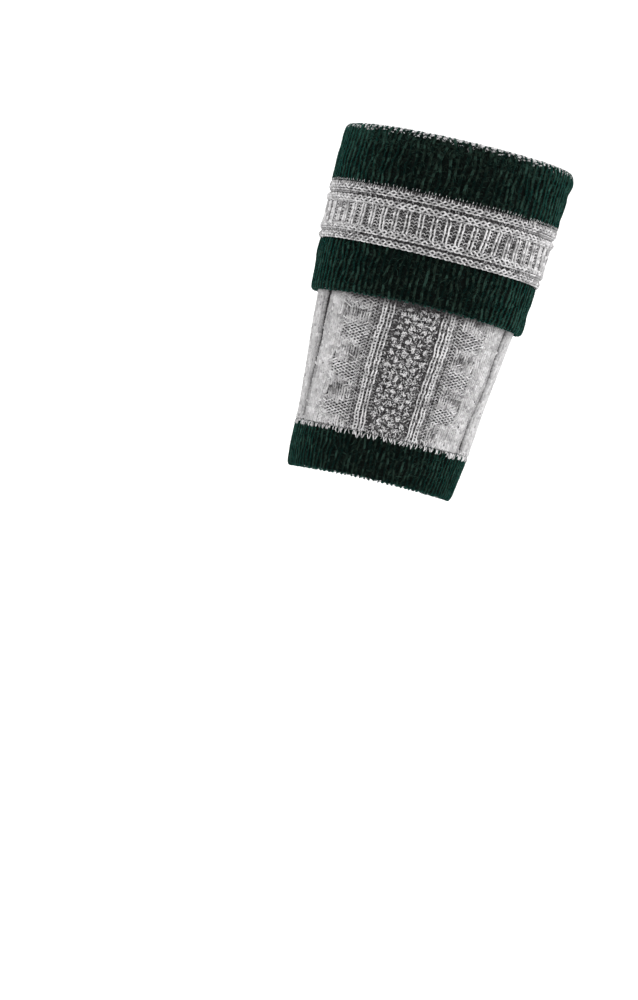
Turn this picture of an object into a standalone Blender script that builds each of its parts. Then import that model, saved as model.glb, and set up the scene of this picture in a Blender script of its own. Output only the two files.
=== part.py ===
"""A calf warmer of knitted wool, hollow as it is worn, with its cuff turned down.

Metres, +Z up. The origin is on the leg's axis where the cuff grips the calf.
Heights run along that axis, up from the hem's lower edge. Angles run round it
from the front (-Y) towards +X.
"""

import math
from collections import namedtuple

import bmesh
import bpy

# The whole garment.
LEAN = math.radians(15.3)  # the axis leans towards +X
RING_TILT = math.radians(2.4)  # the knitted rounds sit this much nearer level than square to the axis
GRIP_HEIGHT = 0.180
SEAM = 0.0003  # gap between knitted pieces

# Knitting counts.
FINE_RIBS = 104  # one rib for each stitch of a green band
PLAIN_POINTS = 52  # points on a round of a plain inside

# Heights of the seams.
HEM_TOP = 0.0243
CUFF_EDGE = 0.1004
PATTERN_LOWER_EDGE = 0.1281
PATTERN_UPPER_EDGE = 0.1612
BODY_TOP = 0.1890
FOLD_TOP = 0.1945
EDGE_SAG = 0.0017  # a free lower edge hangs this much lower at the sides than at the front and back

# Relief of the stitches, outwards from the wall's own radius.
RIB_DEPTH = 0.0008
LADDER_DEPTH = 0.0011
MOSS_RISE = 0.0008
MOSS_SINK = 0.0006
KNIT_RIB_RISE = 0.0009
KNIT_RIB_DIP = 0.0001
GUTTER_DEPTH = 0.0007
PURL_LINE_DEPTH = 0.0008
CABLE_RISE = 0.0013
CABLE_CROSSING_RISE = 0.0007
CABLE_STRAND_WIDTH = 0.58  # of the cable's width
CABLE_STRAND_SWAY = 0.25  # a strand's reach to either side of the cable's middle, of its width

# The body's stitch pattern. It is knitted twice around, front and back.
PANELS = 2
PATTERN_TURN = 1.0  # degrees that the front panel's middle sits round towards +X
PATTERN_ROW = 0.0036  # height of one moss stitch
PATTERN_ROWS = 23
FADE_ROWS = 2  # over which the relief dies away behind the cuff's edge
CABLE_PITCH = 0.0220  # from one crossing to the next
CABLE_FIRST_CROSSING = {-1: 0.0338, 1: 0.0415}  # left cable, right cable

Zone = namedtuple("Zone", "stitch first_degrees last_degrees columns")
# Half a panel, outwards from its middle. Both halves are alike, mirrored.
HALF_PANEL = (
    Zone("moss", 1.9, 9.5, 3),
    Zone("purl", 12.4, 12.4, 1),
    Zone("knit_rib", 14.9, 20.3, 3),
    Zone("purl", 22.7, 25.3, 2),
    Zone("cable", 27.8, 60.0, 11),
    Zone("plain", 62.0, 64.2, 2),
    Zone("purl_line", 65.4, 65.4, 1),
    Zone("plain", 66.6, 83.0, 4),
)
PANEL_EDGE_DEGREES = 90.0
SHARP_FROM = math.radians(50)  # edges that turn more than this are shaded sharp

# Relief is 1 where the stitches stand out. An inner radius of None leaves the inside straight.
Section = namedtuple("Section", "height outer_radius inner_radius relief")
HEM_SECTIONS = (
    Section(0.0000, 0.04590, 0.04540, 0),
    Section(0.0016, 0.04750, 0.04510, 1),
    Section(0.0110, 0.04885, None, 1),
    Section(0.0226, 0.04990, 0.04720, 1),
    Section(HEM_TOP, 0.04925, 0.04725, 0),
)
CUFF_LOWER_SECTIONS = (
    Section(CUFF_EDGE, 0.06020, 0.05930, 0),
    Section(0.1021, 0.06150, 0.05860, 1),
    Section(0.1062, 0.06175, 0.05870, 1),
    Section(0.1259, 0.06300, 0.06030, 1),
    Section(PATTERN_LOWER_EDGE - SEAM / 2, 0.06265, 0.06050, 0),
)
CUFF_PATTERN_SECTIONS = (
    Section(PATTERN_LOWER_EDGE + SEAM / 2, 0.06310, 0.06055, 0),
    Section(0.1300, 0.06420, None, 0),
    Section(0.1322, 0.06280, None, 0),
    Section(0.1347, 0.06480, None, 0),
    Section(0.1367, 0.06470, None, 1),
    Section(0.1500, 0.06500, 0.06215, 1),
    Section(0.1521, 0.06560, None, 0),
    Section(0.1547, 0.06370, None, 0),
    Section(0.1577, 0.06570, None, 0),
    Section(PATTERN_UPPER_EDGE - SEAM / 2, 0.06480, 0.06270, 0),
)
CUFF_UPPER_SECTIONS = (
    Section(PATTERN_UPPER_EDGE + SEAM / 2, 0.06515, 0.06275, 0),
    Section(0.1636, 0.06600, None, 1),
    Section(0.1790, 0.06640, 0.06340, 1),
    Section(0.1900, 0.06665, 0.06370, 1),
    Section(0.1931, 0.06600, None, 1),
)
Wall = namedtuple("Wall", "height radius")
# The round that turns over the fold, from the cuff's outside to the body's top.
FOLD_OUTSIDE = (
    Wall(FOLD_TOP, 0.06370),
    Wall(0.1934, 0.06130),
    Wall(BODY_TOP + SEAM, 0.06040),
)
FOLD_INSIDE = (
    Wall(BODY_TOP + SEAM, 0.06280),
    Wall(0.1907, 0.06300),
    Wall(0.1909, 0.06350),
)
# The body where it shows, then behind the cuff.
BODY_WALL = 0.0022
BODY_SECTIONS = (
    Wall(HEM_TOP + SEAM, 0.04920),
    Wall(0.0353, 0.04990),
    Wall(0.0564, 0.05155),
    Wall(0.0775, 0.05380),
    Wall(0.1010, 0.05625),
    Wall(0.1250, 0.05930),
    Wall(0.1500, 0.06120),
    Wall(BODY_TOP, 0.06270),
)

Round = namedtuple("Round", "height radii angles")


def even_angles(count):
    return [math.radians(PATTERN_TURN) + math.tau * i / count for i in range(count)]


def plain_round(height, radius, count):
    return Round(height, [radius] * count, even_angles(count))


def ribbed_round(height, radius, depths):
    """A round whose points sink below the radius by the depths, over and over."""
    count = FINE_RIBS * 2
    radii = [radius - depths[i % len(depths)] for i in range(count)]
    return Round(height, radii, even_angles(count))


def body_radius(height):
    """The body's own radius, read straight between its sections."""
    for low, high in zip(BODY_SECTIONS, BODY_SECTIONS[1:]):
        if height <= high.height:
            share = (height - low.height) / (high.height - low.height)
            return low.radius + share * (high.radius - low.radius)
    return BODY_SECTIONS[-1].radius


def strand_rise(across, middle):
    """A strand's rounded back, 1 along its middle and 0 at its sides."""
    off = 2 * (across - middle) / CABLE_STRAND_WIDTH
    return math.sqrt(max(0.0, 1 - off * off))


def cable_rise(across, height, side):
    """Two strands that swap places. across is 0 by the moss and 1 at the cable's outer side."""
    turns = (height - CABLE_FIRST_CROSSING[side]) / CABLE_PITCH
    turns -= round(turns)
    sway = CABLE_STRAND_SWAY * math.sin(math.pi * turns)
    over = math.cos(math.pi * turns) * CABLE_CROSSING_RISE
    front = strand_rise(across, 0.5 - sway) * (CABLE_RISE + over)
    back = strand_rise(across, 0.5 + sway) * (CABLE_RISE - over)
    return max(front, back)


def half_panel_columns(side):
    """(degrees, stitch, place in its zone from 0 to 1) for each column on one side of the middle."""
    columns = []
    for zone in HALF_PANEL:
        for k in range(zone.columns):
            share = k / max(1, zone.columns - 1)
            degrees = zone.first_degrees + share * (zone.last_degrees - zone.first_degrees)
            columns.append((side * degrees, zone.stitch, share))
    return columns


def stitch_rise(stitch, share, column, row, height, side):
    if stitch == "moss":
        return MOSS_RISE if (column + row) % 2 else -MOSS_SINK
    if stitch == "knit_rib":
        return KNIT_RIB_DIP if share == 0.5 else KNIT_RIB_RISE
    if stitch == "cable":
        return cable_rise(share, height, side)
    return {"purl": -GUTTER_DEPTH, "purl_line": -PURL_LINE_DEPTH, "plain": 0.0}[stitch]


def body_columns():
    """Every column round the body, in order, as (angle, stitch, share, side)."""
    left = [(*column, -1) for column in reversed(half_panel_columns(-1))]
    right = [(*column, 1) for column in half_panel_columns(1)]
    panel = left + right + [(PANEL_EDGE_DEGREES, "plain", 0.0, 1)]
    columns = []
    for repeat in range(PANELS):
        for degrees, stitch, share, side in panel:
            turned = degrees + PATTERN_TURN + repeat * 360 / PANELS
            columns.append((math.radians(turned), stitch, share, side))
    return columns


def body_outer_rounds(columns):
    angles = [column[0] for column in columns]
    rounds = []
    for row in range(PATTERN_ROWS):
        height = HEM_TOP + SEAM + row * PATTERN_ROW
        radius = body_radius(height)
        fade = min(1.0, (PATTERN_ROWS - 1 - row) / FADE_ROWS)
        radii = [
            radius + fade * stitch_rise(stitch, share, index, row, height, side)
            for index, (_, stitch, share, side) in enumerate(columns)
        ]
        rounds.append(Round(height, radii, angles))
    return rounds


def point(radius, angle, height, sag):
    x = radius * math.sin(angle)
    z = height + x * math.tan(RING_TILT) - sag * math.sin(angle) ** 2
    return (x, -radius * math.cos(angle), z)


def split_quad(low, high, i, j, peaks):
    """A quad's two triangles. Its diagonal joins the two lower corners where peaks stand alone."""
    rising = low.radii[i] + high.radii[j]
    falling = low.radii[j] + high.radii[i]
    if (rising <= falling) == peaks:
        return ((0, i), (0, j), (1, j)), ((0, i), (1, j), (1, i))
    return ((0, i), (0, j), (1, i)), ((0, j), (1, j), (1, i))


def span_faces(low, high, peaks):
    """Triangles between two rounds. One may have a whole number of times the other's points."""
    n_low, n_high = len(low.radii), len(high.radii)
    if n_low == n_high:
        faces = []
        for i in range(n_low):
            faces += split_quad(low, high, i, (i + 1) % n_low, peaks)
        return faces
    fine, coarse = (0, 1) if n_low > n_high else (1, 0)
    times = max(n_low, n_high) // min(n_low, n_high)
    faces = []
    for j in range(min(n_low, n_high)):
        following = (j + 1) % min(n_low, n_high)
        first = j * times
        middle = first + times // 2
        for i in range(first, first + times):
            apex = j if i < middle else following
            faces.append(((fine, i), (fine, (i + 1) % max(n_low, n_high)), (coarse, apex)))
        faces.append(((fine, middle), (coarse, following), (coarse, j)))
    if fine == 1:
        faces = [face[::-1] for face in faces]
    return faces


def closed_wall(name, outside, inside, material, parent, base, hung_from=None, peaks=False):
    """A ring of knitted wall through its rounds, up the outside, then down the inside.

    One that hangs from the seam above it has a free lower edge, which sags at the sides.
    """
    rounds = outside + inside
    mesh = bmesh.new()
    rows = []
    for one in rounds:
        sag = EDGE_SAG * (hung_from - one.height) / (hung_from - base) if hung_from else 0.0
        row = [
            mesh.verts.new(point(radius, angle, one.height - base, sag))
            for radius, angle in zip(one.radii, one.angles)
        ]
        rows.append(row)
    for k, one in enumerate(rounds):
        after = (k + 1) % len(rounds)
        pair = (rows[k], rows[after])
        for face in span_faces(one, rounds[after], peaks):
            mesh.faces.new([pair[which][index] for which, index in face])
    bmesh.ops.recalc_face_normals(mesh, faces=mesh.faces)
    data = bpy.data.meshes.new(name)
    mesh.to_mesh(data)
    mesh.free()
    data.materials.append(material)
    data.shade_smooth()
    data.set_sharp_from_angle(angle=SHARP_FROM)
    piece = bpy.data.objects.new(name, data)
    bpy.context.scene.collection.objects.link(piece)
    piece.parent = parent
    piece.location = (0, 0, base - GRIP_HEIGHT)
    return piece


def band_rounds(sections, depths):
    """A band's rounds: ribbed or plain going up the outside, plain going down the inside."""
    outside, inside = [], []
    for section in sections:
        if section.relief:
            outside.append(ribbed_round(section.height, section.outer_radius, depths))
        else:
            outside.append(plain_round(section.height, section.outer_radius, FINE_RIBS))
        if section.inner_radius:
            inside.append(plain_round(section.height, section.inner_radius, PLAIN_POINTS))
    return outside, inside[::-1]


def upper_cuff_rounds(depths):
    """The band that turns over the fold and meets the body's top inside it."""
    outside, inside = band_rounds(CUFF_UPPER_SECTIONS, depths)
    crown, *over = FOLD_OUTSIDE
    fold = [plain_round(crown.height, crown.radius, FINE_RIBS)]
    fold += [plain_round(wall.height, wall.radius, PLAIN_POINTS) for wall in over]
    pocket = [plain_round(wall.height, wall.radius, PLAIN_POINTS) for wall in FOLD_INSIDE]
    return outside + fold + pocket, inside


def body_rounds():
    columns = body_columns()
    outside = body_outer_rounds(columns)
    angles = [column[0] for column in columns][::2]
    inside = []
    for section in BODY_SECTIONS:
        inner_radius = section.radius - BODY_WALL
        inside.append(Round(section.height, [inner_radius] * len(angles), angles))
        if section.height > outside[-1].height:
            outside.append(Round(section.height, [section.radius] * len(angles), angles))
    return outside, inside[::-1]


def wool(name, colour):
    material = bpy.data.materials.new(name)
    material.use_nodes = True
    shader = material.node_tree.nodes["Principled BSDF"]
    shader.inputs["Base Color"].default_value = (*colour, 1)
    shader.inputs["Roughness"].default_value = 0.95
    shader.inputs["Metallic"].default_value = 0.0
    return material


def main():
    for old in list(bpy.data.objects):
        bpy.data.objects.remove(old, do_unlink=True)
    leg_axis = bpy.data.objects.new("leg_axis", None)
    leg_axis.rotation_euler = (0, LEAN, 0)
    bpy.context.scene.collection.objects.link(leg_axis)
    green = wool("bottle_green_wool", (0.012, 0.030, 0.022))
    grey = wool("grey_melange_wool", (0.42, 0.41, 0.41))
    fine_rib = (0.0, RIB_DEPTH)
    ladder_rib = (0.0, 0.0, LADDER_DEPTH, LADDER_DEPTH)
    hem = band_rounds(HEM_SECTIONS, fine_rib)
    closed_wall("hem_band", *hem, green, leg_axis, 0.0, HEM_TOP)
    closed_wall("body_tube", *body_rounds(), grey, leg_axis, HEM_TOP, peaks=True)
    cuff_lower = band_rounds(CUFF_LOWER_SECTIONS, fine_rib)
    hung_from = PATTERN_LOWER_EDGE
    closed_wall("cuff_lower_band", *cuff_lower, green, leg_axis, CUFF_EDGE, hung_from)
    cuff_pattern = band_rounds(CUFF_PATTERN_SECTIONS, ladder_rib)
    closed_wall("cuff_pattern_band", *cuff_pattern, grey, leg_axis, PATTERN_LOWER_EDGE)
    cuff_upper = upper_cuff_rounds(fine_rib)
    closed_wall("cuff_upper_band", *cuff_upper, green, leg_axis, PATTERN_UPPER_EDGE)


main()
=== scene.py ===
import math
from collections import namedtuple

import bpy
import numpy as np
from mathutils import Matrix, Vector


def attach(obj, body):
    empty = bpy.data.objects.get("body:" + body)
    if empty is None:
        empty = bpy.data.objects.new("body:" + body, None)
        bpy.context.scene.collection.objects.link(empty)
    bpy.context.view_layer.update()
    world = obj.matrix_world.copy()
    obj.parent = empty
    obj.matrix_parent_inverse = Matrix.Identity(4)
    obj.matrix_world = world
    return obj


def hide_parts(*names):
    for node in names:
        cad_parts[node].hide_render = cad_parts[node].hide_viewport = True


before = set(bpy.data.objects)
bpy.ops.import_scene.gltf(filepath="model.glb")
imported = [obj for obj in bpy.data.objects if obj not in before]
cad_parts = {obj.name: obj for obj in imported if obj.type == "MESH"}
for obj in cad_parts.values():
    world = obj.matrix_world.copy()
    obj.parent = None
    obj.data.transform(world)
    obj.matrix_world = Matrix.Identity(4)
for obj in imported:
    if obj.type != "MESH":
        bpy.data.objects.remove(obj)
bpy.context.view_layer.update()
rng = np.random.default_rng(11)

# The garment's own sizes, in metres, as its solids have them.
LEAN = math.radians(15.3)
TILT = math.tan(math.radians(2.4))
GRIP_HEIGHT = 0.180
HEM_TOP = 0.0243
CUFF_EDGE = 0.1004
PATTERN_LOWER_EDGE = 0.1281
EDGE_SAG = 0.0017
BODY_WALL = 0.0022
STITCHES = 104
ROW = 0.00181

# Profiles as (height, radius): the outside that the stitches lie on, then the inside.
BODY_OUT = ((.0246, .0492), (.0353, .0499), (.0564, .05155), (.0775, .0538), (.1010, .05625),
            (.1250, .0593), (.1500, .0612), (.1890, .0627))
HEM_OUT = ((.0030, .0451), (.0006, .0452), (-.0001, .0458), (.0006, .0466), (.0020, .0472),
           (.0110, .0484), (.0226, .0494), (.0243, .0492))
LOWER_OUT = ((.1045, .0588), (.1012, .0588), (.1004, .0597), (.1010, .0605), (.1024, .0610),
             (.1062, .0613), (.1259, .0624), (.12795, .0622))
PATTERN_OUT = ((.12825, .0631), (.1300, .0639), (.1322, .0628), (.1347, .0645), (.1372, .0638),
               (.1495, .0641), (.1521, .0653), (.1547, .0637), (.1577, .0654), (.16105, .0647))
UPPER_OUT = ((.16135, .0650), (.1636, .0654), (.1790, .0658), (.1890, .0660), (.1922, .0656),
             (.1937, .0646), (.1943, .0635), (.1940, .0622), (.1930, .0613), (.1893, .0607))
# The insides, followed downwards.
BODY_IN = tuple((s, r - BODY_WALL) for s, r in BODY_OUT[::-1])
HEM_IN = ((.0243, .04725), (.0226, .0472), (.0110, .0462), (.0035, .0449))
LOWER_IN = ((.12795, .0605), (.1259, .0603), (.1062, .0587), (.1045, .0586))
PATTERN_IN = ((.16105, .0627), (.1500, .06215), (.12825, .06055))
UPPER_IN = ((.1893, .0628), (.1907, .0630), (.1909, .0635), (.1900, .0637), (.1790, .0634),
            (.16135, .06275))


CURVE_STEPS = 14


def smooth_line(points):
    """Points along a smooth curve through the given ones."""
    p = np.array(points, float)
    p = np.vstack([2 * p[0] - p[1], p, 2 * p[-1] - p[-2]])
    t = np.linspace(0, 1, CURVE_STEPS, endpoint=False)[:, None]
    parts = []
    for a, b, c, d in zip(p, p[1:], p[2:], p[3:]):
        m0, m1 = (c - a) / 2, (d - b) / 2
        chord = np.linalg.norm(c - b)
        m0 = m0 * min(1, chord / (np.linalg.norm(m0) + 1e-12))
        m1 = m1 * min(1, chord / (np.linalg.norm(m1) + 1e-12))
        h = 2 * t**3 - 3 * t**2 + 1
        parts.append(h * b + (t**3 - 2 * t**2 + t) * m0 + (1 - h) * c + (t**3 - t**2) * m1)
    return np.vstack(parts + [p[-2]])


class Path:
    """A profile followed by its length u from its start, with the normal that points outwards."""

    def __init__(self, points, hung_from=None, base=0.0):
        self.line = smooth_line(points)
        step = np.diff(self.line, axis=0)
        self.u = np.concatenate([[0], np.cumsum(np.linalg.norm(step, axis=1))])
        way = np.gradient(self.line, axis=0)
        way /= np.linalg.norm(way, axis=1)[:, None]
        self.normal = np.stack([-way[:, 1], way[:, 0]], 1)
        self.length = self.u[-1]
        self.hung_from, self.base = hung_from, base

    def at(self, u):
        return [np.interp(u, self.u, c) for c in (*self.line.T, *self.normal.T)]

    def of_height(self, s):
        """The length at which the path's rising part reaches a height."""
        rising = np.argmin(self.line[:, 0])
        top = np.argmax(self.line[:, 0])
        return np.interp(s, self.line[rising:top + 1, 0], self.u[rising:top + 1])

    def sag(self, s):
        if self.hung_from is None:
            return 0.0
        return EDGE_SAG * (self.hung_from - s) / (self.hung_from - self.base)


HEM = Path(HEM_OUT, HEM_TOP, 0.0)
BODY = Path(BODY_OUT)
LOWER = Path(LOWER_OUT, PATTERN_LOWER_EDGE, CUFF_EDGE)
PATTERN = Path(PATTERN_OUT)
UPPER = Path(UPPER_OUT)
BODY_LINING = Path(BODY_IN)
HEM_LINING = Path(HEM_IN, HEM_TOP, 0.0)

# Soft troughs and ridges of the worn cloth: degrees, height, reach each way, rise (metres).
Crease = namedtuple("Crease", "degrees height turn_reach height_reach rise")
CREASES = (
    Crease(-38, .181, 9, .007, -.0006), Crease(-20, .172, 13, .004, .0005),
    Crease(24, .176, 15, .005, -.0005), Crease(52, .184, 8, .006, .0005),
    Crease(-64, .170, 10, .006, .0005), Crease(78, .172, 9, .008, -.0006),
    Crease(-45, .118, 8, .008, -.0006), Crease(-12, .112, 14, .004, .0005),
    Crease(20, .109, 10, .005, -.0005), Crease(46, .120, 9, .008, .0005),
    Crease(-50, .074, 10, .012, .0006), Crease(-52, .047, 9, .008, -.0005),
    Crease(52, .082, 9, .014, .0005), Crease(70, .050, 9, .012, -.0006),
    Crease(-82, .060, 8, .016, .0006), Crease(-25, .012, 8, .006, -.0005),
    Crease(30, .014, 9, .006, .0005), Crease(110, .178, 14, .006, -.0007),
    Crease(150, .183, 10, .005, .0006), Crease(190, .174, 16, .006, -.0006),
    Crease(235, .180, 12, .007, .0006), Crease(128, .115, 12, .007, .0006),
    Crease(170, .111, 12, .005, -.0006), Crease(215, .118, 12, .007, .0005),
    Crease(250, .113, 10, .006, -.0006), Crease(120, .070, 10, .013, -.0006),
    Crease(178, .055, 9, .010, .0006), Crease(228, .078, 10, .013, .0006),
    Crease(140, .012, 10, .006, .0005), Crease(205, .013, 10, .006, -.0005),
    Crease(84, .1885, 14, .0030, .0007), Crease(86, .182, 13, .0028, -.0006),
    Crease(84, .168, 12, .0030, -.0006), Crease(86, .112, 12, .004, -.0007),
    Crease(-84, .176, 12, .004, .0005), Crease(-86, .121, 12, .004, .0005),
)


def bump(spot, turn, s):
    """A soft bump, one high, about a spot. turn is the angle from it in degrees."""
    return np.exp(-(turn / spot.turn_reach)**2 - ((s - spot.height) / spot.height_reach)**2)


def unevenness(a, s):
    """How far the worn cloth stands out from its round form."""
    total = .00022 * np.sin(3 * a + 40 * s + 1.0) + .00016 * np.sin(7 * a - 90 * s)
    total = total + .00012 * np.sin(13 * a + 160 * s + 2.0)
    for c in CREASES:
        turn = np.degrees(np.angle(np.exp(1j * (a - math.radians(c.degrees)))))
        total = total + c.rise * bump(c, turn, s)
    return total


def ring_shift(a, s):
    """How much the rounds over the cuff's lower edge run off level."""
    return -(.0003 + .0008 * np.sin(a)) * np.exp(-((s - .1305) / .010)**2)


def wander(a, s):
    """The stitch columns' own drift round the leg, in radians."""
    d = .008 * np.sin(2 * a + 75 * s + .5) + .004 * np.sin(5 * a - 170 * s)
    return d + .0010 * np.sin(11 * a + 420 * s)


def place(path, a, u, n):
    """World points, and the outward direction, at angle a, length u along the path and n off it."""
    s, r, ns, nr = path.at(u)
    a, u, n, s, r, ns, nr = np.broadcast_arrays(a, u, n, s, r, ns, nr)
    sin, cos = np.sin(a), np.cos(a)
    sag = path.sag(s) * sin**2 - ring_shift(a, s)
    s, r = s + n * ns, r + n * nr + unevenness(a, s)

    def lean(x, y, z):
        return np.stack([x * math.cos(LEAN) + z * math.sin(LEAN), y,
                         -x * math.sin(LEAN) + z * math.cos(LEAN)], -1)

    x = r * sin
    where = lean(x, -r * cos, s + x * TILT - sag - GRIP_HEIGHT)
    return where, lean(nr * sin, -nr * cos, ns)


class Yarn:
    """Collects short lengths of yarn, each a raised arch in section, for one mesh.

    dim gives the share of the tone that is left at a height and an angle: painted shade, used for
    the cuff's shadow on the body."""

    # The angles of a section's points, for yarn seen closely, sunk yarn and fine hairs.
    ROUND = np.radians([-25, 50, 130, 205])
    LOW = np.radians([0, 90, 180])
    FLAT = np.radians([0, 180])

    def __init__(self, dim=None):
        self.points, self.quads, self.shades, self.uvs, self.count = [], [], [], [], 0
        self.dim = dim

    def add(self, path, a, u, n, wide, high, shade, section=ROUND):
        """a, u, n: (pieces, rings). wide and high are the half width and the height of the arch."""
        centre, out = place(path, a, u, n)
        k, rings = centre.shape[:2]
        wide = np.broadcast_to(wide, (k, rings))[..., None, None]
        high = np.broadcast_to(high, (k, rings))[..., None, None]
        way = np.gradient(centre, axis=1)
        side = np.cross(way, out)
        side /= np.linalg.norm(side, axis=2)[..., None] + 1e-12
        up = np.cross(side, way)
        up /= np.linalg.norm(up, axis=2)[..., None] + 1e-12
        across = section[None, None, :, None]
        points = centre[:, :, None] + side[:, :, None] * wide * np.cos(across)
        points = points + up[:, :, None] * high * np.sin(across)
        p = len(section)
        index = self.count + np.arange(k * rings * p).reshape(k, rings, p)
        near, far = index[:, :-1], index[:, 1:]
        quads = np.stack([near[..., :-1], near[..., 1:], far[..., 1:], far[..., :-1]], -1)
        self.points.append(points.reshape(-1, 3))
        self.quads.append(quads.reshape(-1, 4))
        shade = np.asarray(shade, float).reshape(-1, 1, 1)
        if self.dim:
            shade = shade * np.broadcast_to(self.dim(path.at(u)[0], a), (k, rings))[..., None]
        shade = np.broadcast_to(shade, (k, rings, p))
        self.shades.append(shade.reshape(-1))
        along = np.broadcast_to(np.linspace(0, 1, rings)[None, :, None], (k, rings, p))
        around = np.broadcast_to(np.linspace(0, 1, p)[None, None], (k, rings, p))
        self.uvs.append(np.stack([along, around], -1).reshape(-1, 2))
        self.count += k * rings * p

    def mesh(self, name, materials):
        return mesh_object(name, np.vstack(self.points), np.vstack(self.quads), materials,
                           np.concatenate(self.shades), np.vstack(self.uvs))


def mesh_object(name, points, quads, materials, shades=None, uvs=None, faces_of=None):
    """A smooth mesh of quads, with a tone for each point and a material for each face."""
    data = bpy.data.meshes.new(name)
    data.vertices.add(len(points))
    data.vertices.foreach_set("co", np.ascontiguousarray(points, np.float32).ravel())
    data.loops.add(quads.size)
    data.loops.foreach_set("vertex_index", np.ascontiguousarray(quads, np.int32).ravel())
    data.polygons.add(len(quads))
    data.polygons.foreach_set("loop_start", np.arange(0, quads.size, 4, dtype=np.int32))
    if faces_of is not None:
        data.polygons.foreach_set("material_index", np.asarray(faces_of, np.int32))
    if uvs is not None:
        layer = data.uv_layers.new(name="yarn")
        layer.data.foreach_set("uv", uvs[quads.ravel()].astype(np.float32).ravel())
    if shades is not None:
        layer = data.attributes.new("shade", "FLOAT", "POINT")
        layer.data.foreach_set("value", shades.astype(np.float32))
    data.update(calc_edges=True)
    data.validate()
    data.shade_smooth()
    for material in materials:
        data.materials.append(material)
    thing = bpy.data.objects.new(name, data)
    bpy.context.scene.collection.objects.link(thing)
    return thing


# ---- Stitches -------------------------------------------------------------------------------

def spread(size, low, high):
    return rng.uniform(low, high, size)


def knit(yarn, path, column, wide, u, n, shade, legs, thick, down=False, row=ROW,
         reach=(-.18, 1.24), body=(.80, 1.0, 1.0, .72), loose=1.0, sink=1.0):
    """V stitches, two legs each. column(u) gives the angle of the wale's middle, wide its width in
    radians. legs are the legs' distances from the middle at their foot and head, and reach their
    ends, in rows. body thins and thickens a leg on its way, and loose scales the irregularity."""
    u = np.asarray(u, float)
    count = len(u)
    t = np.array([[0.0, .33, .70, 1.0]])
    foot, head = legs
    part = foot + (head - foot) * t**.85
    along = reach[0] + (reach[1] - reach[0]) * t
    if down:
        along = 1 - along
    rise = np.array([[-.45, .25, .30, -.35]]) * sink
    shift = spread((count, 1), -.045, .045) * loose
    tilt = spread((count, 1), -.09, .09) * loose
    tone = shade(count)
    radius = path.at(u)[1][:, None]
    for side in (-1, 1):
        jitter = spread((count, 1), -.035, .035) * loose
        stretch = spread((count, 1), -.10, .10) * loose
        uu = u[:, None] + row * (along + stretch * (t - .5) + shift)
        aa = column(uu) + (side * (part + jitter) + shift + tilt * (t - .5)) * wide
        aa = aa + wander(aa, path.at(uu)[0])
        w = thick * wide * radius * np.array([body]) * spread((count, 1), .90, 1.12)
        nn = np.broadcast_to(n(aa, uu), aa.shape) + rise * .00045
        yarn.add(path, aa, uu, nn, w, w * 1.05, tone + spread(count, -.10, .10) * loose)


def purl(yarn, path, column, wide, u, n, shade, arch, thick, span=.54, row=ROW,
         section=Yarn.ROUND):
    """Arched bumps across a wale, one a row, arch rows high."""
    u = np.asarray(u, float)
    count = len(u)
    t = np.linspace(-1, 1, 4)[None]
    uu = u[:, None] + row * (.1 + arch * (1 - t**2) + spread((count, 1), -.12, .12))
    aa = column(uu) + span * t * wide * spread((count, 1), .90, 1.08)
    aa = aa + wander(aa, path.at(uu)[0])
    radius = path.at(u)[1][:, None]
    w = thick * wide * radius * np.array([[.62, 1.0, 1.0, .62]]) * spread((count, 1), .85, 1.15)
    nn = np.broadcast_to(n(aa, uu), aa.shape) + np.array([[-.5, .2, .2, -.5]]) * .0005
    yarn.add(path, aa, uu, nn, w, w, shade(count), section)


def wave(yarn, path, u0, phase, swing, thick, n, shade, count):
    """One zigzag round of purl bumps, as short lengths that follow each other."""
    k = np.arange(count * 2)
    t = np.linspace(0, 1, 4)
    turn = (k[:, None] + t[None] + phase) * math.pi / count
    up = swing * np.cos((k[:, None] + t[None]) * math.pi) + spread((len(k), 1), -.00012, .00012)
    aa = turn + wander(turn, path.at(u0)[0])
    w = thick * (.80 + .40 * np.sin(math.pi * t)**2)[None] * spread((len(k), 1), .90, 1.10)
    nn = n + .00022 * np.cos((k[:, None] + t[None]) * math.pi) + 0 * aa
    yarn.add(path, aa, u0 + up, nn, w, w * 1.1, shade(len(k)))


def hairs(yarn, path, count, lengths, thick, lift, shade, span=None, turn=(0, math.tau),
          section=Yarn.FLAT):
    """Loose fibres that leave the yarn in every direction and curl.

    span is the part of the path that they start on, and turn the part of the round."""
    low, high = span or (0, path.length)
    t = np.linspace(0, 1, 4)[None]
    heading = spread((count, 1), 0, math.tau) + spread((count, 1), -2.4, 2.4) * t
    step = spread((count, 1), *lengths) / 3
    u = spread((count, 1), low, high) + np.cumsum(np.sin(heading), 1) * step
    u = np.clip(u, 0, path.length)
    a = spread((count, 1), *turn) + np.cumsum(np.cos(heading), 1) * step / path.at(u)[1]
    n = spread((count, 1), *lift) * np.sin(math.pi * (.12 + .80 * t))
    w = spread((count, 1), *thick) * np.array([[.9, 1, .9, .4]])
    yarn.add(path, a, u, n, w, w, shade(count), section)


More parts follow.
